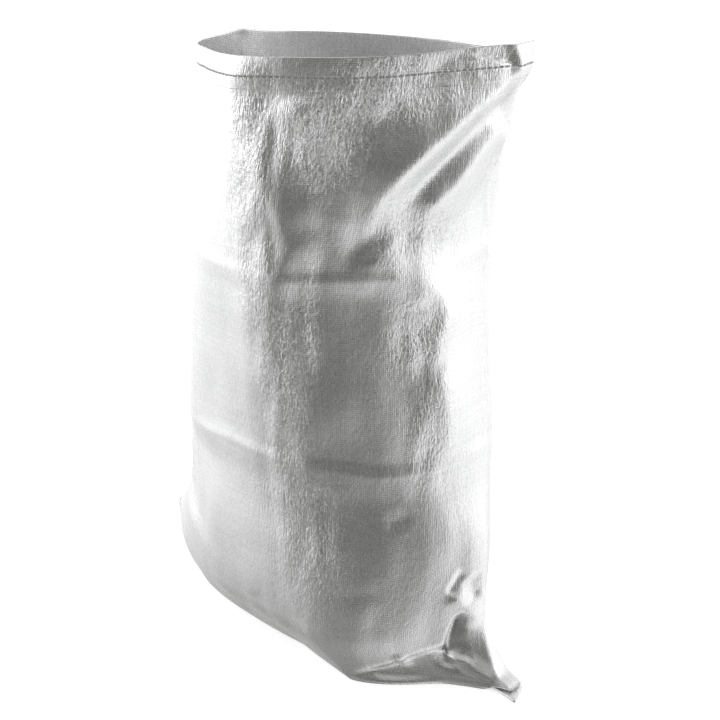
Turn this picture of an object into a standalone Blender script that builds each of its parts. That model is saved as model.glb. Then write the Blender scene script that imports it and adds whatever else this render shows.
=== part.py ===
"""A rubble sack: a tube of coated woven polypropylene cloth, hemmed at its mouth and folded and sewn at its
bottom, standing open and empty on the floor.

Metres, +Z up. The bottom seam runs along X, from ear to ear. The front of the sack faces -Y. The origin is on
the floor, at the middle of the sack's outline.
"""

import math
from collections import namedtuple

import bmesh
import bpy
import numpy as np

# The sack as it is sold, laid flat
SACK_LENGTH = 0.900
FOLD_SPACING = SACK_LENGTH / 4
MOUTH_STITCH_DEPTH = 0.020
BOTTOM_HEM = 0.034
HALF_HEM = BOTTOM_HEM / 2

# How it stands
MOUTH_HEIGHT = 0.722
FIRST_FOLD_HEIGHT = MOUTH_HEIGHT - FOLD_SPACING
SECOND_FOLD_HEIGHT = FIRST_FOLD_HEIGHT - 0.990 * FOLD_SPACING
LEFT_EAR_LIFT = 0.088
LIFT_STARTS = -0.150
LIFT_RUN = 0.135
LIFT_POWER = 1.3

# The cloth is far thinner than this wall, which is a stand-in that a solid can hold
WALL = 0.0024
FLOOR_WALL = 0.0045

# The inside of the sack ends short of the ears, where the two panels lie against each other
EAR_DEPTH = 0.060
EARS_START_AT = 3.0

# The closing rows under the sack stop short of the outline at its two ends
SHORT_OF_RIGHT = 0.012
SHORT_OF_LEFT = 0.010

# The stitching lies on the cloth, and under the sack it lies in a shallow groove along the seam
THREAD_RADIUS = 0.0009
THREAD_GAP = 0.0003
GROOVE_HALF_WIDTH = 0.007
GROOVE_DEPTH = 0.0026
THREAD_HEIGHT = 0.0011
GROOVE_END = 0.003

# How fine the loft is
AROUND = 56
PANEL = AROUND // 2
ROWS_BETWEEN = 3
FINE_STEPS = 1440

# The hem's squared end grows within this share of a panel's depth, over this share of its width. The height
# of a crease spreads into the panels by a power of the distance from their middle.
SQUARE_RISE = 0.12
SQUARE_FROM = 0.45
SQUARE_RUN = 0.40
CREASE_POWER = 6

# The near corner of the bottom fades out over this much of the front panel
CORNER_REACH = 0.090

# One row of the loft, a ring of cloth round the sack. Heights are those of the middle of the front and back
# panels, of the right crease and of the left crease. right and left are points (x, y) of the two creases.
# back and front are how far the panels stand off the straight line between the creases, and front_x is where
# the front panel stands off the most. A pinch of 0 rounds the ring at a crease, and a pinch of 1 closes it to
# an edge. blunt is half the width of the squared end that the hem makes at the right crease. corner is how
# far the fold of the bottom pushes a corner out of the front panel at front_x.
Row = namedtuple(
    "Row",
    "height right_height left_height right left back front front_x right_pinch left_pinch blunt corner",
)

STATIONS = (
    # the mouth
    Row(MOUTH_HEIGHT, MOUTH_HEIGHT + 0.010, MOUTH_HEIGHT + 0.003, (0.206, 0.090), (-0.168, 0.036),
        0.148, 0.187, 0.015, 0.45, 0.10, 0.0, 0.0),
    # just under the top hem
    Row(0.640, 0.645, 0.640, (0.174, 0.082), (-0.171, 0.040), 0.150, 0.182, 0.005, 0.25, 0.05, 0.0, 0.0),
    # the first packing fold
    Row(FIRST_FOLD_HEIGHT, FIRST_FOLD_HEIGHT, FIRST_FOLD_HEIGHT, (0.150, 0.078), (-0.180, 0.030),
        0.148, 0.180, -0.010, 0.12, 0.00, 0.0, 0.0),
    # the second packing fold
    Row(SECOND_FOLD_HEIGHT, SECOND_FOLD_HEIGHT, SECOND_FOLD_HEIGHT, (0.174, 0.064), (-0.209, 0.010),
        0.140, 0.152, -0.005, 0.15, 0.00, 0.0, 0.0),
    # the belly
    Row(0.160, 0.170, 0.175, (0.196, 0.050), (-0.222, 0.000), 0.118, 0.140, 0.015, 0.30, 0.00, 0.0, 0.0),
    # where the ears begin
    Row(0.070, 0.078, 0.125, (0.206, 0.038), (-0.252, 0.000), 0.092, 0.124, 0.045, 0.55, 0.04, 0.0, 0.004),
    # the lower edge
    Row(0.022, 0.022, 0.096, (0.232, 0.037), (-0.277, 0.000), 0.066, 0.097, 0.080, 2.00, 0.10,
        0.6 * HALF_HEM, 0.014),
    # the top of the hem's squared end
    Row(0.006, 0.006, 0.090, (0.262, 0.037), (-0.284, 0.000), 0.055, 0.086, 0.092, 3.00, 0.18,
        HALF_HEM, 0.018),
    # the outline that rests on the floor
    Row(0.000, 0.000, 0.088, (0.265, 0.037), (-0.285, 0.000), 0.048, 0.079, 0.096, 3.20, 0.20,
        HALF_HEM, 0.020),
)


def blend_numbers(before, here, there, after, t):
    """A smooth curve through four numbers, read between the middle two."""
    slope_here = (there - before) / 2
    slope_there = (after - here) / 2
    t2, t3 = t * t, t * t * t
    return (
        (2 * t3 - 3 * t2 + 1) * here
        + (t3 - 2 * t2 + t) * slope_here
        + (3 * t2 - 2 * t3) * there
        + (t3 - t2) * slope_there
    )


def flat_values(row):
    values = []
    for value in row:
        values.extend(value if isinstance(value, tuple) else (value,))
    return np.array(values)


def row_at(place):
    """The row at a place counted in stations from the mouth, as the flat list of its values."""
    last = len(STATIONS) - 1
    index = min(int(place), last - 1)
    around = [flat_values(STATIONS[min(max(index + step, 0), last)]) for step in (-1, 0, 1, 2)]
    return blend_numbers(*around, place - index)


def smooth_step(value):
    value = np.clip(value, 0.0, 1.0)
    return value * value * (3 - 2 * value)


def ring(row, inset=0.0, end_inset=0.0):
    """The points of one ring, from the right crease round by the back.

    Each panel has half of the points, evenly spaced, so that the creases are points of every ring.
    """
    height, right_height, left_height, right_x, right_y, left_x, left_y, *rest = row
    back, front, front_x, right_pinch, left_pinch, blunt, corner = rest
    angle = np.linspace(0.0, 2 * math.pi, FINE_STEPS + 1)
    turn, lift = np.cos(angle), np.sin(angle)
    right_end, left_end = right_x - inset - end_inset, left_x + inset + end_inset
    middle_x = np.where(lift > 0, (right_x + left_x) / 2, front_x)
    x = middle_x + np.where(turn > 0, right_end - middle_x, middle_x - left_end) * turn
    pinch = np.where(turn > 0, right_pinch, left_pinch)
    depth = np.where(lift > 0, back, front) - inset
    axis_y = left_y + (right_y - left_y) * (x - left_x) / (right_x - left_x)
    y = axis_y + depth * lift * np.abs(lift) ** pinch
    squared = blunt * smooth_step(np.abs(lift) / SQUARE_RISE) * smooth_step((turn - SQUARE_FROM) / SQUARE_RUN)
    y = y + squared * np.sign(lift)
    near = np.maximum(0.0, 1.0 - np.abs(x - front_x) / CORNER_REACH)
    y = y - corner * near * (lift < 0)
    rise = np.where(turn > 0, right_height, left_height) - height
    z = height + rise * np.abs(turn) ** CREASE_POWER
    length = np.concatenate([[0.0], np.cumsum(np.hypot(np.diff(x), np.diff(y)))])
    crease = length[FINE_STEPS // 2]
    share = np.arange(PANEL) / PANEL
    wanted = np.concatenate([share * crease, crease + share * (length[-1] - crease)])
    return np.stack([np.interp(wanted, length, values) for values in (x, y, z)], axis=1)


def floor_lift(x):
    """How far the seam stands off the floor: it sweeps up to the left ear."""
    return LEFT_EAR_LIFT * smooth_step((LIFT_STARTS - x) / LIFT_RUN) ** LIFT_POWER


def steepness(x):
    """How much longer the sweep is than its run, by which a depth square to it grows."""
    step = 0.001
    return np.hypot(1.0, (floor_lift(x + step) - floor_lift(x - step)) / (2 * step))


def seam_y(x):
    """The seam runs straight from ear to ear, and swings back a little towards the right one."""
    right, left = STATIONS[-1].right, STATIONS[-1].left
    return left[1] + (right[1] - left[1]) * (x - left[0]) / (right[0] - left[0])


def seam_row(right_x, left_x, height, apart=0.0):
    """A row under the sack along the seam, with its front and back halves this far from the seam's line."""
    share = np.arange(AROUND) / PANEL
    x = right_x + (left_x - right_x) * np.where(share <= 1, share, 2 - share)
    side = np.sign(np.sin(math.pi * share).round(6))
    return np.stack([x, seam_y(x) + apart * side, floor_lift(x) + height * steepness(x)], axis=1)


def settle(points, height):
    """The lowest rows keep above the line of the seam, and none goes under the floor."""
    points[:, 2] = np.maximum(points[:, 2], height + floor_lift(points[:, 0]))


def outer_rows():
    count = (len(STATIONS) - 1) * ROWS_BETWEEN
    rows = [ring(row_at(step / ROWS_BETWEEN)) for step in range(count + 1)]
    for points in rows[-2 * ROWS_BETWEEN:]:
        settle(points, 0.0)
    beside = seam_row(*seam_ends(0.0), 0.0, GROOVE_HALF_WIDTH)
    return rows + [beside, seam_row(*seam_ends(GROOVE_END), GROOVE_DEPTH)]


def seam_ends(short):
    """Where the row beside the seam ends, or a row this much shorter at each end."""
    return STATIONS[-1].right[0] - SHORT_OF_RIGHT - short, STATIONS[-1].left[0] + SHORT_OF_LEFT + short


def inner_rows():
    count = (len(STATIONS) - 1) * ROWS_BETWEEN
    rows = []
    for step in range(count + 1):
        place = step / ROWS_BETWEEN
        ears = smooth_step((place - EARS_START_AT) / (len(STATIONS) - 1 - EARS_START_AT))
        points = ring(row_at(place), inset=WALL, end_inset=EAR_DEPTH * ears)
        settle(points, FLOOR_WALL)
        rows.append(points)
    return rows + [seam_row(*seam_ends(EAR_DEPTH), FLOOR_WALL)]


def ring_vertices(mesh, points):
    return [mesh.verts.new(point) for point in points]


def seam_vertices(mesh, points):
    """The closing row shares each of its points between the front and back panels."""
    single = [mesh.verts.new(point) for point in points[: PANEL + 1]]
    return single + [single[AROUND - index] for index in range(PANEL + 1, AROUND)]


def strip(mesh, upper, lower):
    """The faces between two rows. A face at an end of the seam has three corners."""
    for index in range(AROUND):
        after = (index + 1) % AROUND
        corners = [upper[index], lower[index], lower[after], upper[after]]
        unlike = [corner for place, corner in enumerate(corners) if corner not in corners[:place]]
        if len(unlike) > 2:
            mesh.faces.new(unlike)


def loft(rows_down, rows_up):
    """A closed shell: down the outside, over the rim at the top, and up the inside."""
    mesh = bmesh.new()
    outside = [ring_vertices(mesh, row) for row in rows_down[:-1]] + [seam_vertices(mesh, rows_down[-1])]
    inside = [ring_vertices(mesh, row) for row in rows_up[:-1]] + [seam_vertices(mesh, rows_up[-1])]
    for upper, lower in zip(outside, outside[1:]):
        strip(mesh, upper, lower)
    for upper, lower in zip(inside, inside[1:]):
        strip(mesh, lower, upper)
    strip(mesh, inside[0], outside[0])
    return mesh


def clear_scene():
    for old in list(bpy.data.objects):
        bpy.data.objects.remove(old, do_unlink=True)


def new_collection(name):
    collection = bpy.data.collections.new(name)
    bpy.context.scene.collection.children.link(collection)
    return collection


def material(name, colour, roughness):
    made = bpy.data.materials.new(name)
    made.use_nodes = True
    shader = made.node_tree.nodes["Principled BSDF"]
    shader.inputs["Base Color"].default_value = (*colour, 1.0)
    shader.inputs["Roughness"].default_value = roughness
    shader.inputs["Metallic"].default_value = 0.0
    made.diffuse_color = (*colour, 1.0)
    return made


def add_sack(collection, shift):
    mesh = loft(outer_rows(), inner_rows())
    bmesh.ops.translate(mesh, verts=mesh.verts, vec=shift)
    bmesh.ops.recalc_face_normals(mesh, faces=mesh.faces)
    data = bpy.data.meshes.new("woven_sack")
    mesh.to_mesh(data)
    mesh.free()
    data.shade_smooth()
    sack = bpy.data.objects.new("woven_sack", data)
    data.materials.append(material("coated_weave", (0.86, 0.87, 0.87), 0.32))
    collection.objects.link(sack)


def add_thread(collection, name, points, closed):
    """A round thread through these points."""
    curve = bpy.data.curves.new(name, "CURVE")
    curve.dimensions = "3D"
    curve.bevel_depth = THREAD_RADIUS
    curve.bevel_resolution = 2
    curve.use_fill_caps = not closed
    spline = curve.splines.new("POLY")
    spline.points.add(len(points) - 1)
    for control, point in zip(spline.points, points):
        control.co = (*point, 1.0)
    spline.use_cyclic_u = closed
    thread = bpy.data.objects.new(name, curve)
    curve.materials.append(material(name, (0.80, 0.80, 0.79), 0.70))
    collection.objects.link(thread)


def mouth_stitch_points():
    """The stitching round the mouth, on the cloth a hem's depth below the rim."""
    upper, lower = (ring(row_at(step / ROWS_BETWEEN)) for step in (0, 1))
    drop = np.linalg.norm(lower - upper, axis=1, keepdims=True)
    on_cloth = upper + (lower - upper) * MOUTH_STITCH_DEPTH / drop
    along = np.roll(on_cloth, -1, axis=0) - np.roll(on_cloth, 1, axis=0)
    outward = np.stack([along[:, 1], -along[:, 0], np.zeros(AROUND)], axis=1)
    outward /= np.linalg.norm(outward, axis=1, keepdims=True)
    return on_cloth + outward * (THREAD_RADIUS + THREAD_GAP)


def bottom_stitch_points():
    """The stitching along the bottom seam, in its groove under the sack."""
    return seam_row(*seam_ends(GROOVE_END), THREAD_HEIGHT)[1:PANEL]


def main():
    clear_scene()
    collection = new_collection("rubble_sack")
    rows = np.concatenate(outer_rows())
    low, high = rows.min(axis=0), rows.max(axis=0)
    shift = np.array([-(low[0] + high[0]) / 2, -(low[1] + high[1]) / 2, -low[2]])
    add_sack(collection, shift)
    add_thread(collection, "top_hem_thread", mouth_stitch_points() + shift, closed=True)
    add_thread(collection, "bottom_seam_thread", bottom_stitch_points() + shift, closed=False)


main()
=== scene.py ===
"""The looks of a rubble sack: coated woven plastic cloth, hemmed and sewn, standing open on a pale floor."""

import math
from collections import namedtuple

import bpy
import numpy as np
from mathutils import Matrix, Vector, noise


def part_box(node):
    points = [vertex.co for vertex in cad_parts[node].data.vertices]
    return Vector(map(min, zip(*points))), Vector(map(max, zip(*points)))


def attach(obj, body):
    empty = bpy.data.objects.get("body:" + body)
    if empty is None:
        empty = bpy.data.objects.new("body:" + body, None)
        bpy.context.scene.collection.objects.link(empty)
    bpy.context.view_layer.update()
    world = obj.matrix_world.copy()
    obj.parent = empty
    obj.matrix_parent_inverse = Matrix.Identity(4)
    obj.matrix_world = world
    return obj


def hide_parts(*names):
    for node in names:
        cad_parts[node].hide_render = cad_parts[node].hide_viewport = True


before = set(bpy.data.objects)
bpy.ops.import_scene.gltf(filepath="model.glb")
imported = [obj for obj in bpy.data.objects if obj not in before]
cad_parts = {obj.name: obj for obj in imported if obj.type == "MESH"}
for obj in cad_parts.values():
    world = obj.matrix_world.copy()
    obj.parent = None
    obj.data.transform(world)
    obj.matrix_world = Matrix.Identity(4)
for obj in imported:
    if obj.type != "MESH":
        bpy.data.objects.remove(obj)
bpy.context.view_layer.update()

# The sack as it is sold, laid flat, in metres
SACK_WIDTH = 0.560
SACK_LENGTH = 0.900
FOLD_SPACING = SACK_LENGTH / 4
TOP_HEM = 0.034
MOUTH_STITCH_DEPTH = 0.020
BOTTOM_HEM = 0.034
HALF_HEM = BOTTOM_HEM / 2
CLOTH = 0.0006
TAPE = 0.0023

# How it stands
MOUTH_HEIGHT = 0.722
FIRST_FOLD_HEIGHT = MOUTH_HEIGHT - FOLD_SPACING
SECOND_FOLD_HEIGHT = FIRST_FOLD_HEIGHT - 0.990 * FOLD_SPACING
LEFT_EAR_LIFT = 0.088
LIFT_STARTS = -0.150
LIFT_RUN = 0.135
LIFT_POWER = 1.3

# How bright the floor looks where the cloth's gloss shows it
FLOOR_TONE = 0.22
FLOOR_TONE_RIGHT = 0.86

# The photograph's view of it
CAMERA_PLACE = (0.876, -0.990, 0.823)
CAMERA_PITCH = math.radians(19.79)
CAMERA_TURN = 0.713
CAMERA_LENS = 57.8

# How fine the cloth is. Each zone is where it begins and the step between the columns or rows in it. Columns
# are counted from the right crease round by the back, and rows from the rim.
COLUMN_ZONES = (
    (0.0, 0.0028), (0.030, 0.0070), (0.545, 0.0040), (0.575, 0.0052), (0.850, 0.0032), (0.915, 0.0048),
    (1.040, 0.0028),
)
ROW_ZONES = (
    (0.0, 0.0018), (0.038, 0.0060), (0.215, 0.0032), (0.245, 0.0065), (0.432, 0.0032), (0.468, 0.0065),
    (0.575, 0.0034),
)
UNDERSIDE_ROWS = 12
FINE_STEPS = 2880
COARSE_ROWS = 24

# The folded hem under the sack, and the tip of the ear that lies on it
HEM_STACK = 0.0026
HEM_LEFT = -0.272
HEM_RIGHT = 0.264
HEM_SKEW = -0.31
HEM_SWING = -0.27
TIP_LIFT = 0.0030
HEM_LAYER_GAP = 0.0014

# Stitches
STITCH = 0.0066
STITCH_SHARES = (0.0, 0.12, 0.35, 0.65, 0.88, 1.0)
THREAD_RADIUS = 0.00055

SQUARE_RISE = 0.12
SQUARE_FROM = 0.45
SQUARE_RUN = 0.40
CREASE_POWER = 6
CORNER_REACH = 0.090

SEAM_RIGHT = (0.265, 0.037)
HEM_INSIDE = (0.0345, 0.0340, 0.030, 0.025, 0.0205, 0.0195, 0.015, 0.010, 0.006, 0.003, 0.0010)

Row = namedtuple(
    "Row",
    "height right_height left_height right left back front front_x right_pinch left_pinch blunt corner",
)

STATIONS = (
    # the mouth
    Row(MOUTH_HEIGHT, MOUTH_HEIGHT + 0.010, MOUTH_HEIGHT + 0.003, (0.201, 0.088), (-0.168, 0.036),
        0.148, 0.187, 0.015, 0.68, 0.10, 0.0, 0.0),
    # just under the top hem
    Row(0.640, 0.645, 0.640, (0.175, 0.082), (-0.173, 0.040), 0.150, 0.182, 0.005, 0.22, 0.05, 0.0, 0.0),
    # the first packing fold
    Row(FIRST_FOLD_HEIGHT, FIRST_FOLD_HEIGHT, FIRST_FOLD_HEIGHT, (0.150, 0.078), (-0.180, 0.030),
        0.148, 0.180, -0.010, 0.12, 0.00, 0.0, 0.0),
    # the second packing fold
    Row(SECOND_FOLD_HEIGHT, SECOND_FOLD_HEIGHT, SECOND_FOLD_HEIGHT, (0.174, 0.064), (-0.209, 0.010),
        0.140, 0.152, -0.005, 0.15, 0.00, 0.0, 0.0),
    # the belly
    Row(0.160, 0.170, 0.175, (0.196, 0.050), (-0.222, 0.000), 0.118, 0.140, 0.015, 0.30, 0.00, 0.0, 0.0),
    # where the ears begin
    Row(0.070, 0.078, 0.125, (0.206, 0.038), (-0.252, 0.000), 0.092, 0.124, 0.045, 0.55, 0.04, 0.0, 0.004),
    # the lower edge
    Row(0.022, 0.022, 0.096, (0.232, 0.037), (-0.277, 0.000), 0.066, 0.097, 0.080, 2.00, 0.10,
        0.6 * HALF_HEM, 0.014),
    # the top of the ear's tip
    Row(0.007, 0.008, 0.090, (0.253, 0.037), (-0.284, 0.000), 0.055, 0.086, 0.092, 3.00, 0.18,
        0.7 * HALF_HEM, 0.018),
    # the outline that rests on the floor
    Row(0.000, 0.000, 0.088, (0.258, 0.037), (-0.285, 0.000), 0.048, 0.079, 0.096, 3.20, 0.20,
        0.7 * HALF_HEM, 0.020),
)


def blend_numbers(before, here, there, after, t):
    """A smooth curve through four numbers, read between the middle two."""
    slope_here = (there - before) / 2
    slope_there = (after - here) / 2
    t2, t3 = t * t, t * t * t
    return (
        (2 * t3 - 3 * t2 + 1) * here
        + (t3 - 2 * t2 + t) * slope_here
        + (3 * t2 - 2 * t3) * there
        + (t3 - t2) * slope_there
    )


def flat_values(row):
    values = []
    for value in row:
        values.extend(value if isinstance(value, tuple) else (value,))
    return np.array(values)


def row_at(place):
    """The row at a place counted in stations from the mouth, as the flat list of its values."""
    last = len(STATIONS) - 1
    index = min(int(place), last - 1)
    around = [flat_values(STATIONS[min(max(index + step, 0), last)]) for step in (-1, 0, 1, 2)]
    return blend_numbers(*around, place - index)


def smooth_step(value):
    value = np.clip(value, 0.0, 1.0)
    return value * value * (3 - 2 * value)


def stepped_places(zones, end):
    """Places from 0 to end, as far apart as the zone that each lies in says."""
    places = [0.0]
    while places[-1] < end:
        step = [step for start, step in zones if start <= places[-1]][-1]
        places.append(places[-1] + step)
    return np.array(places) * end / places[-1]


def cloth_columns():
    return stepped_places(COLUMN_ZONES, 2 * SACK_WIDTH)[:-1]


def ring(row, columns):
    """The points of one ring of cloth, from the right crease round by the back."""
    height, right_height, left_height, right_x, right_y, left_x, left_y, *rest = row
    back, front, front_x, right_pinch, left_pinch, blunt, corner = rest
    angle = np.linspace(0.0, 2 * math.pi, FINE_STEPS + 1)
    turn, lift = np.cos(angle), np.sin(angle)
    middle_x = np.where(lift > 0, (right_x + left_x) / 2, front_x)
    x = middle_x + np.where(turn > 0, right_x - middle_x, middle_x - left_x) * turn
    pinch = np.where(turn > 0, right_pinch, left_pinch)
    depth = np.where(lift > 0, back, front)
    axis_y = left_y + (right_y - left_y) * (x - left_x) / (right_x - left_x)
    y = axis_y + depth * lift * np.abs(lift) ** pinch
    squared = blunt * smooth_step(np.abs(lift) / SQUARE_RISE) * smooth_step((turn - SQUARE_FROM) / SQUARE_RUN)
    y = y + squared * np.sign(lift)
    near = np.maximum(0.0, 1.0 - np.abs(x - front_x) / CORNER_REACH)
    y = y - corner * near * (lift < 0)
    rise = np.where(turn > 0, right_height, left_height) - height
    z = height + rise * np.abs(turn) ** CREASE_POWER
    length = np.concatenate([[0.0], np.cumsum(np.hypot(np.diff(x), np.diff(y)))])
    crease = length[FINE_STEPS // 2]
    share = columns / SACK_WIDTH
    wanted = np.where(share < 1, share * crease, crease + (share - 1) * (length[-1] - crease))
    return np.stack([np.interp(wanted, length, values) for values in (x, y, z)], axis=1)


def floor_lift(x):
    """How far the seam stands off the floor: it sweeps up to the left ear."""
    return LEFT_EAR_LIFT * smooth_step((LIFT_STARTS - x) / LIFT_RUN) ** LIFT_POWER


def seam_y(x):
    """The seam runs straight from ear to ear, and swings back a little towards the right one."""
    right, left = (SEAM_RIGHT, STATIONS[-1].left)
    return left[1] + (right[1] - left[1]) * (x - left[0]) / (right[0] - left[0])


def hem_middle(x):
    """The middle of the folded hem. At the right ear its end swings forward."""
    return seam_y(x) + HEM_SWING * (x - 0.249) * smooth_step((x - 0.195) / 0.030)


def rest_height(x, y):
    """The lowest that the cloth lies: on the floor, or on the folded hem. The tip of the right ear lifts off it."""
    beside = np.abs(y - hem_middle(x))
    on_hem = smooth_step((HALF_HEM + 0.010 - beside) / 0.008)
    tip = TIP_LIFT * smooth_step((x - 0.222) / 0.025)
    return floor_lift(x) + (HEM_STACK + tip) * on_hem


def wall_rows(columns):
    """The outside of the sack, from the rim down to its outline on the floor, and how far down each row is."""
    spans = len(STATIONS) - 1
    coarse = np.array([ring(row_at(step / COARSE_ROWS), columns) for step in range(spans * COARSE_ROWS + 1)])
    low = COARSE_ROWS * (spans - 2)
    coarse[low:, :, 2] = np.maximum(coarse[low:, :, 2], rest_height(coarse[low:, :, 0], coarse[low:, :, 1]))
    drops = np.linalg.norm(np.diff(coarse, axis=0), axis=2)
    down = np.concatenate([np.zeros((1, len(columns))), np.cumsum(drops, axis=0)])
    middle = down.mean(axis=1)
    wanted = stepped_places(ROW_ZONES, middle[-1])
    rows = np.empty((len(wanted), len(columns), 3))
    places = np.empty((len(wanted), len(columns)))
    for column in range(len(columns)):
        places[:, column] = np.interp(wanted, middle, down[:, column])
        for axis in range(3):
            rows[:, column, axis] = np.interp(wanted, middle, coarse[:, column, axis])
    return rows, places


def turned_in_rows(wall, down):
    """The top hem: the cloth rolls over the rim and hangs inside, as far as its raw edge."""
    normals = outward_normals(wall)
    rows, places = [], []
    for depth in HEM_INSIDE:
        at_depth = np.array([
            [np.interp(depth, down[:, column], values[:, column, axis]) for axis in range(3) for values in [wall]]
            for column in range(wall.shape[1])
        ])
        facing = np.array([
            [np.interp(depth, down[:, column], normals[:, column, axis]) for axis in range(3)]
            for column in range(wall.shape[1])
        ])
        rows.append(at_depth - facing * HEM_LAYER_GAP)
        places.append(np.full(wall.shape[1], -depth))
    radius = HEM_LAYER_GAP / 2
    for degrees in (150, 90, 30):
        turn = math.radians(degrees)
        out = radius * (math.cos(turn) - 1)
        lift = np.array([0.0, 0.0, radius * math.sin(turn)])
        rows.append(wall[0] + normals[0] * out + lift)
        places.append(np.full(wall.shape[1], -0.0002 * degrees / 30))
    return np.array(rows), np.array(places)


def underside_rows(wall, down):
    """The two panels under the sack, from its outline on the floor to the seam."""
    outline = wall[-1]
    share = np.linspace(0.0, 2.0, outline.shape[0], endpoint=False)
    right_x, left_x = HEM_RIGHT - 0.018, HEM_LEFT + 0.010
    x = right_x + (left_x - right_x) * np.where(share <= 1, share, 2 - share)
    side = np.where(share <= 1, 1.0, -1.0)
    rows, places = [], []
    for step in range(1, UNDERSIDE_ROWS + 1):
        t = step / UNDERSIDE_ROWS
        across_x = outline[:, 0] + (x - outline[:, 0]) * t
        end_y = seam_y(x) + 0.0005 * side
        across_y = outline[:, 1] + (end_y - outline[:, 1]) * t
        lowest = rest_height(across_x, across_y)
        z = np.maximum(lowest, outline[:, 2] * (1 - t))
        rows.append(np.stack([across_x, across_y, z], axis=1))
        places.append(down[-1] + np.linalg.norm(rows[-1] - outline, axis=1))
    return np.array(rows), np.array(places)


def outward_normals(rows):
    along = np.roll(rows, -1, axis=1) - np.roll(rows, 1, axis=1)
    down = np.gradient(rows, axis=0)
    normals = np.cross(down, along)
    normals /= np.linalg.norm(normals, axis=2, keepdims=True) + 1e-12
    return normals


def distance_to_path(across, down, path):
    """For each place, how far it is from a path of straight runs, on which side, and how far along it lies."""
    points = np.array(path)
    lengths = np.concatenate([[0.0], np.cumsum(np.linalg.norm(np.diff(points, axis=0), axis=1))])
    best = np.full(across.shape, np.inf)
    side = np.zeros(across.shape)
    along = np.zeros(across.shape)
    for index, (start, end) in enumerate(zip(points, points[1:])):
        run = end - start
        long = np.hypot(*run)
        px, py = across - start[0], down - start[1]
        share = np.clip((px * run[0] + py * run[1]) / long**2, 0.0, 1.0)
        gap = np.hypot(px - share * run[0], py - share * run[1])
        nearer = gap < best
        best = np.where(nearer, gap, best)
        side = np.where(nearer, np.sign(run[0] * py - run[1] * px), side)
        along = np.where(nearer, (lengths[index] + share * long) / lengths[-1], along)
    return best, side, along


# A fold in the cloth. Its path is a list of places on the cloth: how far across the front panel from its left
# crease, and how far down from the rim. rise is how far it stands out, or below zero how far it goes in. left
# and right are how far it reaches to the two sides of someone who walks the path, seen from outside. sharp is
# 0 for a round swell and 1 for flat faces that meet in a crease. Its reach grows along the path from narrow to
# wide, as shares, and start and end are the shares of the path over which it fades.
Fold = namedtuple(
    "Fold", "path rise left right sharp start end narrow wide", defaults=(0.2, 0.2, 1.0, 1.0)
)

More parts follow.
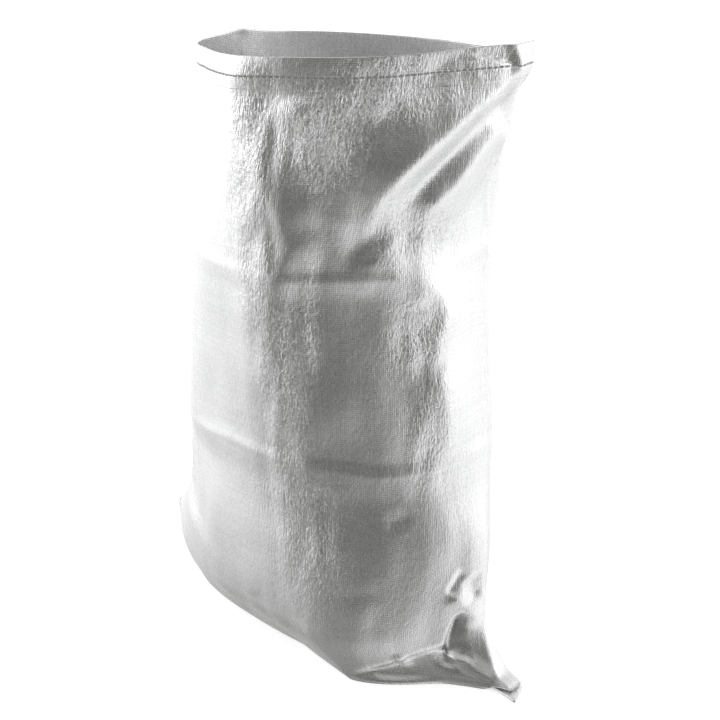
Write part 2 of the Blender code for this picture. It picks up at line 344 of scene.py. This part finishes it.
FOLDS = (
    # two ridges run down from the right corner of the mouth, with a valley between them
    Fold([(0.534, -0.045), (0.545, 0.022), (0.522, 0.046), (0.500, 0.060), (0.483, 0.075), (0.460, 0.094),
          (0.437, 0.118), (0.418, 0.145), (0.409, 0.172), (0.404, 0.210)],
         0.0210, 0.025, 0.043, 0.75, 0.36, 0.32, 0.8, 1.0),
    Fold([(0.554, 0.074), (0.543, 0.091), (0.521, 0.115), (0.499, 0.142), (0.479, 0.159), (0.458, 0.193)],
         0.0130, 0.034, 0.020, 0.6, 0.15, 0.30),
    # the front turns away to the left along this line, and to the right along the next
    Fold([(0.262, -0.010), (0.250, 0.036), (0.255, 0.070), (0.264, 0.090), (0.282, 0.112), (0.298, 0.128),
          (0.308, 0.153), (0.322, 0.176), (0.332, 0.198), (0.322, 0.216), (0.312, 0.245), (0.305, 0.290),
          (0.306, 0.340), (0.320, 0.400), (0.332, 0.460)], 0.0085, 0.026, 0.042, 0.55, 0.06, 0.30),
    Fold([(0.404, 0.196), (0.418, 0.214), (0.442, 0.230), (0.458, 0.250), (0.480, 0.272), (0.497, 0.300),
          (0.494, 0.330), (0.500, 0.360), (0.503, 0.400), (0.503, 0.470)],
         0.0070, 0.040, 0.026, 0.5, 0.10, 0.25),
    # a crease stands in the middle of the front, under the hem
    Fold([(0.323, 0.036), (0.333, 0.094), (0.345, 0.148), (0.351, 0.185)], 0.0050, 0.018, 0.034, 0.7, 0.12, 0.25),
    Fold([(0.290, 0.047), (0.380, 0.047), (0.470, 0.043)], 0.0022, 0.014, 0.014, 0.2),
    # the wall draws in above the left ear
    Fold([(0.150, 0.430), (0.140, 0.480), (0.115, 0.540), (0.090, 0.590)], -0.0085, 0.055, 0.055, 0.0, 0.3, 0.2),
    # the broad flat of the front between the hem and the first packing fold
    Fold([(0.365, 0.120), (0.400, 0.150)], -0.0040, 0.055, 0.055, 0.0, 0.0, 0.0),
    Fold([(0.335, 0.140), (0.372, 0.095), (0.408, 0.058)], 0.0015, 0.016, 0.016, 0.3),
    # the packing folds, a quarter of the length apart
    Fold([(-0.10, 0.226), (0.160, 0.222), (0.245, 0.228), (0.312, 0.235), (0.452, 0.238), (0.502, 0.235),
          (0.66, 0.226)], 0.0013, 0.007, 0.013, 1.0, 0.2, 0.1),
    Fold([(-0.10, 0.446), (0.130, 0.450), (0.225, 0.437), (0.302, 0.446), (0.382, 0.454), (0.422, 0.461),
          (0.66, 0.464)], 0.0020, 0.008, 0.022, 1.0, 0.2, 0.1),
    Fold([(0.13, 0.672), (0.300, 0.668), (0.480, 0.668)], 0.0010, 0.014, 0.014, 0.8),
    # long shallow streaks where the cloth was folded along its length
    Fold([(0.302, 0.050), (0.306, 0.160), (0.318, 0.240)], -0.0012, 0.008, 0.006, 0.7),
    Fold([(0.342, 0.260), (0.350, 0.350), (0.362, 0.430)], 0.0011, 0.007, 0.007, 0.8),
    # dents in the right of the belly
    Fold([(0.452, 0.232), (0.500, 0.262), (0.512, 0.290), (0.490, 0.318), (0.478, 0.345)],
         0.0025, 0.016, 0.014, 0.6, 0.3, 0.2),
    Fold([(0.478, 0.262), (0.487, 0.290), (0.470, 0.316)], -0.0035, 0.014, 0.018, 0.3),
    Fold([(0.492, 0.316), (0.482, 0.338), (0.505, 0.352)], -0.0026, 0.008, 0.014, 0.8),
    Fold([(0.505, 0.350), (0.512, 0.400), (0.508, 0.460)], 0.0020, 0.022, 0.012, 0.4),
    Fold([(0.432, 0.524), (0.450, 0.518), (0.463, 0.510)], -0.0020, 0.012, 0.006, 0.8),
    Fold([(0.350, 0.604), (0.400, 0.606), (0.440, 0.598)], -0.0010, 0.012, 0.012, 0.5),
    # the pocket where the right ear leaves the wall
    Fold([(0.5330, 0.645), (0.5225, 0.657), (0.5150, 0.675), (0.5100, 0.690), (0.5060, 0.698)],
         -0.0095, 0.020, 0.0045, 0.8, 0.25, 0.05, 0.30, 1.0),
    Fold([(0.5060, 0.692), (0.5020, 0.706), (0.4990, 0.716)], -0.0040, 0.010, 0.010, 0.5),
    # the pinched lines above it
    Fold([(0.5290, 0.592), (0.5200, 0.604), (0.5110, 0.618)], -0.0030, 0.012, 0.004, 0.9, 0.3, 0.1),
    Fold([(0.5110, 0.618), (0.5275, 0.636), (0.5450, 0.660), (0.5560, 0.672)], 0.0034, 0.012, 0.008, 0.8),
    Fold([(0.5390, 0.606), (0.5500, 0.640)], -0.0040, 0.014, 0.014, 0.4),
    # the ridge that runs down the ear to the end of the hem
    Fold([(0.5140, 0.693), (0.5225, 0.710), (0.5280, 0.723), (0.5370, 0.733), (0.5410, 0.742)],
         0.0036, 0.012, 0.010, 0.8, 0.15, 0.1),
    # the lower edge of the front folds in under the belly
    Fold([(0.372, 0.730), (0.400, 0.716), (0.442, 0.706), (0.478, 0.694), (0.510, 0.688)],
         -0.0055, 0.005, 0.034, 0.9, 0.3, 0.05),
    Fold([(0.398, 0.724), (0.410, 0.716)], 0.0020, 0.006, 0.006, 0.8),
    Fold([(0.448, 0.688), (0.456, 0.710)], 0.0024, 0.006, 0.006, 0.8),
    # the bottom left of the front
    Fold([(0.255, 0.640), (0.285, 0.690)], -0.0014, 0.014, 0.010, 0.5),
)

# The lay-flat crease on the right wanders a little, and stands up in a thin broken ridge
CREASE_FOLDS = (
    Fold([(0.560, -0.010), (0.560, 0.036), (0.560, 0.085)], 0.0095, 0.018, 0.018, 0.7, 0.6, 0.5),
    Fold([(0.534, 0.0), (0.546, 0.025), (0.550, 0.050), (0.556, 0.080)], 0.0022, 0.006, 0.006, 1.0, 0.0, 0.1),
    Fold([(0.556, 0.080), (0.564, 0.125), (0.560, 0.150), (0.564, 0.175), (0.578, 0.205)],
         0.0026, 0.008, 0.005, 1.0, 0.1, 0.1),
    Fold([(0.578, 0.205), (0.577, 0.226), (0.588, 0.240), (0.576, 0.258)], 0.0022, 0.008, 0.005, 1.0, 0.2, 0.2),
    Fold([(0.574, 0.262), (0.572, 0.330), (0.580, 0.380), (0.586, 0.415), (0.578, 0.466)],
         0.0016, 0.008, 0.006, 1.0, 0.1, 0.1),
    Fold([(0.578, 0.466), (0.570, 0.530), (0.564, 0.600)], 0.0014, 0.008, 0.008, 1.0, 0.1, 0.3),
    # the other panel's crease is a plain ridge
    Fold([(0.0, 0.0), (0.0, 0.300), (0.0, 0.560)], 0.0018, 0.007, 0.007, 1.0, 0.02, 0.2),
)

# Where the film has crinkled the most: a middle, how far it reaches across and down, and how strongly
Crinkle = namedtuple("Crinkle", "across down wide deep strength")

CRINKLES = (
    Crinkle(0.275, 0.110, 0.030, 0.120, 1.0),
    Crinkle(0.290, 0.250, 0.026, 0.080, 0.9),
    Crinkle(0.318, 0.360, 0.032, 0.120, 1.0),
    Crinkle(0.350, 0.290, 0.016, 0.080, 0.7),
    Crinkle(0.475, 0.300, 0.040, 0.050, 1.0),
    Crinkle(0.490, 0.420, 0.030, 0.070, 0.9),
    Crinkle(0.350, 0.080, 0.050, 0.055, 1.2),
    Crinkle(0.410, 0.015, 0.050, 0.022, 1.1),
    Crinkle(0.410, 0.045, 0.090, 0.028, 1.1),
    Crinkle(0.500, 0.015, 0.030, 0.020, 0.8),
    Crinkle(0.480, 0.190, 0.050, 0.030, 0.9),
    Crinkle(0.440, 0.180, 0.030, 0.050, 0.8),
    Crinkle(0.340, 0.560, 0.060, 0.080, 0.6),
    Crinkle(0.330, 0.490, 0.070, 0.040, 0.6),
)
PLAIN_CRINKLE = 0.17


def fold_offsets(folds, across, down):
    """How far these folds move the cloth out."""
    offsets = np.zeros(across.shape)
    for fold in folds:
        gap, side, along = distance_to_path(across, down, fold.path)
        reach = np.where(side > 0, fold.right, fold.left) * (fold.narrow + (fold.wide - fold.narrow) * along)
        swell = np.exp(-((gap / reach) ** 2))
        crease = np.maximum(0.0, 1.0 - gap / (1.5 * reach))
        ends = np.ones(across.shape)
        if fold.start:
            ends = ends * smooth_step(along / fold.start)
        if fold.end:
            ends = ends * smooth_step((1 - along) / fold.end)
        offsets += fold.rise * ends * (swell + (crease - swell) * fold.sharp)
    return offsets


def crinkle_shares(across, down):
    shares = np.full(across.shape, PLAIN_CRINKLE)
    for zone in CRINKLES:
        far = ((across - zone.across) / zone.wide) ** 2 + ((down - zone.down) / zone.deep) ** 2
        shares = np.maximum(shares, zone.strength * np.exp(-far))
    return shares


def ripples(across, down, long, wide, seed):
    """Soft noise over the cloth, from about -0.5 to 0.5, with waves this long down and this wide across."""
    turn = across / (2 * SACK_WIDTH) * 2 * math.pi
    radius = 2 * SACK_WIDTH / (2 * math.pi) / wide
    values = [
        noise.noise(Vector((radius * math.cos(t) + seed, radius * math.sin(t), d / long)))
        for t, d in zip(turn.ravel(), down.ravel())
    ]
    return np.array(values).reshape(across.shape)


def add_mesh(name, points, faces, corner_uvs=None):
    data = bpy.data.meshes.new(name)
    data.from_pydata([tuple(point) for point in points], [], faces)
    if corner_uvs is not None:
        layer = data.uv_layers.new(name="cloth")
        layer.data.foreach_set("uv", np.asarray(corner_uvs, float).ravel())
    data.shade_smooth()
    data.update()
    made = bpy.data.objects.new(name, data)
    bpy.context.scene.collection.objects.link(made)
    return made


def apply_modifier(piece, name):
    bpy.ops.object.select_all(action="DESELECT")
    bpy.context.view_layer.objects.active = piece
    piece.select_set(True)
    bpy.ops.object.modifier_apply(modifier=name)
    piece.select_set(False)


class Wire:
    """A socket of a material's nodes, on which sums can be written."""

    def __init__(self, shade, socket):
        self.shade = shade
        self.socket = socket

    def maths(self, operation, *values):
        return self.shade.node("ShaderNodeMath", {"operation": operation}, *values)

    def __add__(self, other):
        return self.maths("ADD", self, other)

    def __radd__(self, other):
        return self.maths("ADD", other, self)

    def __sub__(self, other):
        return self.maths("SUBTRACT", self, other)

    def __rsub__(self, other):
        return self.maths("SUBTRACT", other, self)

    def __mul__(self, other):
        return self.maths("MULTIPLY", self, other)

    def __rmul__(self, other):
        return self.maths("MULTIPLY", other, self)

    def __truediv__(self, other):
        return self.maths("DIVIDE", self, other)

    def __pow__(self, other):
        return self.maths("POWER", self, other)

    def __neg__(self):
        return self.maths("MULTIPLY", self, -1.0)

    def size(self):
        return self.maths("ABSOLUTE", self)

    def floor(self):
        return self.maths("FLOOR", self)

    def fraction(self):
        return self.maths("FRACT", self)

    def wave(self):
        return self.maths("SINE", self)

    def between(self, low, high):
        """0 below low and 1 above high, smooth between."""
        settings = {"interpolation_type": "SMOOTHSTEP"}
        return self.shade.node("ShaderNodeMapRange", settings, Value=self, **{"From Min": low, "From Max": high})


class Shade:
    """A material, or the world, whose nodes are added by name."""

    def __init__(self, tree):
        self.tree = tree

    def node(self, kind, settings=None, *values, out=0, **named):
        made = self.tree.nodes.new(kind)
        for key, value in (settings or {}).items():
            if key == "stops":
                self.set_stops(made, value)
            else:
                setattr(made, key, value)
        for place, value in list(enumerate(values)) + list(named.items()):
            self.feed(made.inputs[place], value)
        return Wire(self, made.outputs[out])

    def set_stops(self, made, stops):
        elements = made.color_ramp.elements
        while len(elements) < len(stops):
            elements.new(0.5)
        for element, (place, colour) in zip(elements, stops):
            element.position = place
            element.color = (*colour, 1.0) if len(colour) == 3 else colour

    def feed(self, socket, value):
        if isinstance(value, Wire):
            self.tree.links.new(value.socket, socket)
        else:
            socket.default_value = value

    def split(self, vector):
        made = self.tree.nodes.new("ShaderNodeSeparateXYZ")
        self.feed(made.inputs[0], vector)
        return [Wire(self, output) for output in made.outputs]

    def vector(self, x, y, z=0.0):
        return self.node("ShaderNodeCombineXYZ", None, x, y, z)

    def colour(self, share, first, second):
        """A colour between two others."""
        made = self.tree.nodes.new("ShaderNodeMix")
        made.data_type = "RGBA"
        self.feed(made.inputs["Factor"], share)
        self.feed(made.inputs[6], first)
        self.feed(made.inputs[7], second)
        return Wire(self, made.outputs[2])


def new_material(name):
    made = bpy.data.materials.new(name)
    made.use_nodes = True
    return made, Shade(made.node_tree), made.node_tree.nodes["Principled BSDF"]


def woven_tapes(shade, across, down):
    """Flat tapes woven over and under: how high each place stands, and which tape it is."""
    warp, weft = across / TAPE, down / TAPE
    parity = ((warp.floor() + weft.floor()) * 0.5).fraction() * 2.0
    warp_round = 1.0 - ((warp.fraction() * 2.0 - 1.0).size()) ** 3.0
    weft_round = 1.0 - ((weft.fraction() * 2.0 - 1.0).size()) ** 3.0
    over = warp_round * weft_round ** 0.4
    under = weft_round * warp_round ** 0.4
    weave = over * parity + under * (1.0 - parity)
    warp_tone = shade.node(
        "ShaderNodeTexWhiteNoise", {"noise_dimensions": "2D"}, Vector=shade.vector(warp.floor(), 3.0), out="Value",
    )
    weft_tone = shade.node(
        "ShaderNodeTexWhiteNoise", {"noise_dimensions": "2D"}, Vector=shade.vector(weft.floor(), 7.0), out="Value",
    )
    return weave, warp_tone * parity + weft_tone * (1.0 - parity)


def stitched_line(across, down):
    """The cloth puckers along the stitching of the top hem."""
    near = 1.0 - (((down + MOUTH_STITCH_DEPTH) / 0.0016).size()).between(0.0, 1.0)
    return near * ((across * (2 * math.pi / STITCH)).wave() * 0.2 + 0.8)


def coated_weave():
    """Flat white tapes woven over and under, under a thin glossy film that has crinkled."""
    material, shade, shader = new_material("coated_weave")
    place = shade.node("ShaderNodeTexCoord", None, out="UV")
    across, down, _ = shade.split(place)
    weave, tone = woven_tapes(shade, across, down)
    streaks = shade.node(
        "ShaderNodeTexNoise", None,
        Vector=shade.vector(across * 420.0, down * 110.0), Scale=1.0, Detail=2.0, Roughness=0.6, Distortion=0.5,
    )
    crinkle = shade.node(
        "ShaderNodeTexNoise", None,
        Vector=shade.vector(across * 190.0, down * 95.0), Scale=1.0, Detail=3.0, Roughness=0.6, Distortion=0.8,
    )
    # Colour: each tape's own random tone, plus painted shade that darkens each tape towards its edges and the low
    # places between the tapes
    base = shade.colour(tone * 0.5 + weave * 0.5, (0.74, 0.745, 0.75, 1.0), (0.88, 0.885, 0.885, 1.0))
    shade.feed(shader.inputs["Base Color"], base)
    shader.inputs["Metallic"].default_value = 0.78
    shade.feed(shader.inputs["Roughness"], crinkle * 0.10 + 0.22)
    shader.inputs["Coat Weight"].default_value = 0.35
    shader.inputs["Coat Roughness"].default_value = 0.24
    share = shade.node("ShaderNodeAttribute", {"attribute_name": "crinkle"}, out="Fac")
    hem_edge = (-down).between(TOP_HEM - 0.0012, TOP_HEM + 0.0004) * (1.0 - (-down).between(0.050, 0.051))
    pucker = stitched_line(across, down)
    coarse = shade.node("ShaderNodeBump", None, Strength=1.0, Distance=0.0016, Height=streaks * share)
    medium = shade.node("ShaderNodeBump", None, Strength=1.0, Distance=0.0017, Height=crinkle * share, Normal=coarse)
    sewn = shade.node(
        "ShaderNodeBump", None, Strength=1.0, Distance=0.0007, Height=0.0 - pucker - hem_edge * 0.4, Normal=medium,
    )
    fine = shade.node("ShaderNodeBump", None, Strength=1.0, Distance=0.00011, Height=weave, Normal=sewn)
    shade.feed(shader.inputs["Normal"], fine)
    return material


def bare_weave():
    """The inside of the sack: the same tapes with no film on them."""
    material, shade, shader = new_material("bare_weave")
    place = shade.node("ShaderNodeTexCoord", None, out="UV")
    across, down, _ = shade.split(place)
    weave, tone = woven_tapes(shade, across, down)
    # Colour: each tape's own random tone, plus painted shade that darkens each tape towards its edges and the low
    # places between the tapes
    base = shade.colour(tone * 0.4 + weave * 0.6, (0.74, 0.74, 0.74, 1.0), (0.84, 0.84, 0.835, 1.0))
    shade.feed(shader.inputs["Base Color"], base)
    shader.inputs["Roughness"].default_value = 0.60
    shade.feed(shader.inputs["Normal"], shade.node("ShaderNodeBump", None, Distance=0.00007, Height=weave))
    return material


def sewing_thread():
    material, shade, shader = new_material("sewing_thread")
    place = shade.node("ShaderNodeTexCoord", None, out="Object")
    fuzz = shade.node("ShaderNodeTexNoise", None, Vector=place, Scale=2500.0, Detail=2.0)
    base = shade.colour(fuzz, (0.30, 0.30, 0.30, 1.0), (0.50, 0.50, 0.49, 1.0))
    shade.feed(shader.inputs["Base Color"], base)
    shader.inputs["Roughness"].default_value = 0.6
    shade.feed(shader.inputs["Normal"], shade.node("ShaderNodeBump", None, Distance=0.0002, Height=fuzz))
    return material


def pale_floor():
    material, shade, shader = new_material("pale_floor")
    place = shade.node("ShaderNodeTexCoord", None, out="Object")
    mottle = shade.node("ShaderNodeTexNoise", None, Vector=place, Scale=3.0, Detail=2.0)
    base = shade.colour(mottle, (0.93, 0.93, 0.93, 1.0), (0.95, 0.95, 0.95, 1.0))
    shade.feed(shader.inputs["Base Color"], base)
    shader.inputs["Roughness"].default_value = 0.85
    shader.inputs["Emission Color"].default_value = (1.0, 1.0, 1.0, 1.0)
    shader.inputs["Emission Strength"].default_value = 0.50
    return material


def rim_sag(across, down):
    """The rim dips along the back panel and lifts to a point at the left crease."""
    back = np.where(across > SACK_WIDTH, (across - SACK_WIDTH) / SACK_WIDTH, 0.0)
    dip = 0.011 * smooth_step(back / 0.20) * smooth_step((0.85 - back) / 0.55)
    front = np.where(across <= SACK_WIDTH, across / SACK_WIDTH, 0.0)
    dip += 0.0035 * smooth_step((front - 0.3) / 0.15) * smooth_step((0.95 - front) / 0.3)
    nearest = np.minimum(across, 2 * SACK_WIDTH - across)
    lift = 0.0045 * np.maximum(0.0, 1.0 - nearest / 0.045) ** 1.5
    return (lift - dip) * smooth_step((0.10 - down) / 0.10)


def sack_points(columns):
    """The wall of the cloth, row by row from the rim: moved out by the folds, the creases and the ripples, with how
    much each place crinkles.
    """
    wall, down = wall_rows(columns)
    across = np.broadcast_to((columns + SACK_WIDTH) % (2 * SACK_WIDTH), down.shape)
    normals = outward_normals(wall)
    wall[..., 2] += rim_sag(across, down)
    folded = np.where(across > SACK_WIDTH + 0.1, across - 2 * SACK_WIDTH, across)
    offsets = fold_offsets(FOLDS, folded, down)
    on_back = np.where(across > 2 * SACK_WIDTH - 0.1, across - 2 * SACK_WIDTH, across)
    offsets += fold_offsets(CREASE_FOLDS, on_back, down)
    quiet = smooth_step(down / 0.05)
    offsets += 0.0030 * ripples(across, down, 0.160, 0.110, 3.0) * quiet
    offsets += 0.0013 * ripples(across, down, 0.070, 0.040, 11.0) * quiet
    shares = crinkle_shares(folded, down)
    offsets += 0.0030 * ripples(across, down, 0.050, 0.018, 23.0) * shares
    clear = wall[..., 2] - floor_lift(wall[..., 0])
    offsets *= smooth_step(clear / 0.012)
    wall = wall + normals * offsets[..., None]
    return wall, down, across, normals, shares


def line_at_depth(wall, down, depth):
    """The line round the sack that lies this far down from the rim."""
    return np.array([
        [np.interp(depth, down[:, column], wall[:, column, axis]) for axis in range(3)]
        for column in range(wall.shape[1])
    ])


def finish_piece(piece, node, slot, *materials):
    for material in materials:
        piece.data.materials.append(material)
    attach(piece, "root")
    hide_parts(node)


def thicken(piece, thickness, offset, inner_material=0):
    solidify = piece.modifiers.new("thickness", "SOLIDIFY")
    solidify.thickness = thickness
    solidify.offset = offset
    solidify.material_offset = inner_material
    apply_modifier(piece, "thickness")


def grid_faces(rows, around, closed):
    faces = []
    for row in range(rows - 1):
        for column in range(around if closed else around - 1):
            after = (column + 1) % around
            faces.append((row * around + column, (row + 1) * around + column,
                          (row + 1) * around + after, row * around + after))
    return faces


def add_sack(shift, coated, inner):
    columns = cloth_columns()
    wall, down, across, normals, shares = sack_points(columns)
    hem, hem_down = turned_in_rows(wall, down)
    under, under_down = underside_rows(wall, down)
    rows = np.concatenate([hem, wall, under])
    places = np.concatenate([hem_down, down, under_down])
    crinkles = np.concatenate([np.full(hem_down.shape, 0.08), shares, np.full(under_down.shape, 0.3)])
    around = len(columns)
    faces = grid_faces(len(rows), around, closed=True)
    left_u = (columns + SACK_WIDTH) % (2 * SACK_WIDTH)
    right_u = left_u + np.append(columns[1:], 2 * SACK_WIDTH) - columns
    uvs = []
    for row in range(len(rows) - 1):
        for column in range(around):
            after = (column + 1) % around
            left, right = left_u[column], right_u[column]
            uvs += [(left, -places[row, column]), (left, -places[row + 1, column]),
                    (right, -places[row + 1, after]), (right, -places[row, after])]
    sack = add_mesh("sack_cloth", rows.reshape(-1, 3) + shift, faces, uvs)
    crinkle = sack.data.attributes.new("crinkle", "FLOAT", "POINT")
    crinkle.data.foreach_set("value", crinkles.ravel())
    finish_piece(sack, "woven_sack", "coated_weave", coated, inner)
    thicken(sack, CLOTH, -1.0, inner_material=1)
    return wall, down, normals


def hem_profile():
    """Half of the folded hem seen from its end: over the top layer, round the front fold, and back below."""
    fold = HALF_HEM - 0.0008
    top = [(v, 0.0019) for v in np.linspace(HALF_HEM, -fold, 10)]
    bend = [(-fold - 0.00075 * math.sin(a), 0.00115 + 0.00075 * math.cos(a)) for a in (0.8, math.pi / 2, 2.3)]
    low = [(v, 0.0004 + 0.0011 * math.exp(-((v / 0.0028) ** 2))) for v in np.linspace(-fold, HALF_HEM - 0.001, 14)]
    return np.array(top + bend + low)


def add_bottom_hem(shift, coated):
    """The bottom hem lies folded under the sack from ear to ear, and its right end shows."""
    profile = hem_profile()
    places = np.linspace(HEM_LEFT, HEM_RIGHT, 140)
    points, uvs = [], []
    lengths = np.concatenate([[0.0], np.cumsum(np.hypot(*np.diff(profile, axis=0).T))])
    for x in places:
        ending = smooth_step((x - 0.215) / 0.045)
        for (v, height), length in zip(profile, lengths):
            skewed = x + HEM_SKEW * v * ending
            cut = 0.010 * max(0.0, (v - 0.010) / 0.007) ** 2 * smooth_step((x - 0.245) / 0.019)
            open_up = 0.0012 * smooth_step((x - 0.225) / 0.035) * (height > 0.0012)
            curl = 0.0006 * noise.noise(Vector((x * 45.0, v * 40.0, 0.0))) * (height > 0.0012)
            z = floor_lift(skewed) + height + open_up + max(curl, -0.0001)
            points.append((skewed - cut, hem_middle(x) + v, z))
    around = len(profile)
    faces = grid_faces(len(places), around, closed=False)
    for row, column in ((r, c) for r in range(len(places) - 1) for c in range(around - 1)):
        for r, c in ((row, column), (row + 1, column), (row + 1, column + 1), (row, column + 1)):
            uvs.append((places[r], -lengths[c]))
    hem = add_mesh("bottom_hem", np.array(points) + shift, faces, uvs)
    crinkle = hem.data.attributes.new("crinkle", "FLOAT", "POINT")
    crinkle.data.foreach_set("value", np.full(len(points), 0.4))
    finish_piece(hem, "woven_sack", "coated_weave", coated)
    thicken(hem, CLOTH, 0.0)


def add_stitches(name, node, line, outward, closed, thread):
    """A row of stitches along a line. Each one lies on the cloth and dives into it at both ends."""
    path = np.concatenate([line, line[:1]]) if closed else line
    facing = np.concatenate([outward, outward[:1]]) if closed else outward
    length = np.concatenate([[0.0], np.cumsum(np.linalg.norm(np.diff(path, axis=0), axis=1))])
    count = int(length[-1] / STITCH)
    points, faces = [], []
    for stitch in range(count):
        first = len(points)
        for t in STITCH_SHARES:
            place = (stitch + 0.04 + 0.92 * t) * length[-1] / count
            here = np.array([np.interp(place, length, path[:, axis]) for axis in range(3)])
            ahead = np.array([np.interp(place + 0.001, length, path[:, axis]) for axis in range(3)])
            out = np.array([np.interp(place, length, facing[:, axis]) for axis in range(3)])
            along = ahead - here
            if not along.any():
                along = np.array([0.0, 0.0, 1.0])
            along /= np.linalg.norm(along)
            side = np.cross(out, along)
            side /= np.linalg.norm(side)
            out = np.cross(along, side)
            dip = abs(2 * t - 1) ** 4
            middle = here + out * THREAD_RADIUS * (0.5 - 1.3 * dip)
            size = THREAD_RADIUS * (1.0 - 0.35 * dip)
            for corner in range(6):
                turn = math.radians(60 * corner)
                points.append(middle + size * (math.cos(turn) * out + math.sin(turn) * side))
        for ring_index in range(len(STITCH_SHARES) - 1):
            for corner in range(6):
                low, high = first + ring_index * 6, first + ring_index * 6 + 6
                after = (corner + 1) % 6
                faces.append((low + corner, low + after, high + after, high + corner))
        last = first + 6 * (len(STITCH_SHARES) - 1)
        faces.append(tuple(first + corner for corner in (5, 4, 3, 2, 1, 0)))
        faces.append(tuple(last + corner for corner in range(6)))
    row = add_mesh(name, points, faces)
    finish_piece(row, node, "thread", thread)


def add_top_stitches(wall, down, shift, thread):
    line = line_at_depth(wall, down, MOUTH_STITCH_DEPTH)
    outward = line_at_depth(outward_normals(wall), down, MOUTH_STITCH_DEPTH)
    outward /= np.linalg.norm(outward, axis=1, keepdims=True)
    add_stitches("top_hem_stitches", "top_hem_thread", line + shift, outward, True, thread)


def add_bottom_stitches(shift, thread):
    x = np.linspace(HEM_LEFT + 0.006, HEM_RIGHT - 0.006, 160)
    line = np.stack([x, hem_middle(x), floor_lift(x) + 0.0009], axis=1)
    outward = np.tile([0.0, 0.0, -1.0], (len(x), 1))
    add_stitches("bottom_seam_stitches", "bottom_seam_thread", line + shift, outward, False, thread)


def add_floor():
    bpy.ops.mesh.primitive_plane_add(size=60.0, location=(0.0, 0.0, 0.0))
    floor = bpy.context.active_object
    floor.name = "floor"
    floor.data.materials.append(pale_floor())
    floor.visible_glossy = False
    floor.visible_diffuse = False


def add_light(name, place, aim, size, power, colour=(1.0, 1.0, 1.0)):
    data = bpy.data.lights.new(name, "AREA")
    data.shape = "RECTANGLE"
    data.size, data.size_y = size
    data.energy = power
    data.color = colour
    light = bpy.data.objects.new(name, data)
    light.location = place
    light.rotation_euler = (Vector(aim) - Vector(place)).to_track_quat("-Z", "Y").to_euler()
    bpy.context.scene.collection.objects.link(light)


def round_place(degrees, distance, height):
    """A place round the sack, by its angle from the line to the camera, to the right above zero."""
    turn = CAMERA_TURN + math.radians(degrees)
    return (distance * math.sin(turn), -distance * math.cos(turn), height)


def add_studio():
    """Soft white light from both sides and above, with the dark end of the room behind the camera."""
    world = bpy.data.worlds.new("studio")
    bpy.context.scene.world = world
    world.use_nodes = True
    shade = Shade(world.node_tree)
    direction = shade.node("ShaderNodeTexCoord", None, out="Generated")
    x, y, z = shade.split(direction)
    dark_x, dark_y, _ = round_place(-2.0, 1.0, 0.0)
    flat = (x * x + y * y + 0.0001) ** 0.5
    left_x, left_y, _ = round_place(-92.0, 1.0, 0.0)
    right_x, right_y, _ = round_place(70.0, 1.0, 0.0)
    swing = (-z - 0.2).between(0.0, 0.6) * 0.55
    ahead = (x * (left_x * swing + dark_x) + y * (left_y * swing + dark_y)) / flat
    facing = ahead / (swing * swing + 1.0) ** 0.5
    ahead = facing.between(0.0, 1.0) * facing
    dark = ahead.between(0.0, 0.92)
    high = z.between(0.05, 0.90)
    room = (1.0 - dark * (1.0 - high * 0.7) * 0.99) * (1.0 - high * 0.5)
    low = (-z).between(0.10, 0.95)
    right = ((x * right_x + y * right_y) / flat).between(-0.1, 1.0)
    floor = right * (FLOOR_TONE_RIGHT - FLOOR_TONE) + FLOOR_TONE
    light = room + (floor - room) * low
    background = world.node_tree.nodes["Background"]
    shade.feed(background.inputs["Color"], shade.colour(light, (0.012, 0.011, 0.004, 1.0), (1.0, 1.0, 1.0, 1.0)))
    background.inputs["Strength"].default_value = 1.35
    add_light("left_panel", round_place(-95.0, 1.8, 1.2), (0.0, 0.0, 0.55), (1.2, 1.6), 10.0)
    add_light("right_panel", round_place(80.0, 1.8, 1.0), (0.0, 0.0, 0.35), (1.2, 1.8), 3.5)


def add_camera():
    data = bpy.data.cameras.new("camera")
    data.lens = CAMERA_LENS
    data.sensor_width = 36.0
    camera = bpy.data.objects.new("camera", data)
    camera.location = CAMERA_PLACE
    camera.rotation_euler = (math.pi / 2 - CAMERA_PITCH, 0.0, CAMERA_TURN)
    bpy.context.scene.collection.objects.link(camera)
    bpy.context.scene.camera = camera


def main():
    bpy.ops.object.select_all(action="DESELECT")
    bpy.context.scene.view_settings.view_transform = "Standard"
    add_camera()
    add_floor()
    add_studio()
    low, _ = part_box("woven_sack")
    plain = wall_rows(cloth_columns())[0]
    shift = np.array([low[0] - plain[..., 0].min(), low[1] - plain[..., 1].min(), 0.0])
    coated, inner, thread = coated_weave(), bare_weave(), sewing_thread()
    wall, down, _ = add_sack(shift, coated, inner)
    add_bottom_hem(shift, coated)
    add_top_stitches(wall, down, shift, thread)
    add_bottom_stitches(shift, thread)


main()
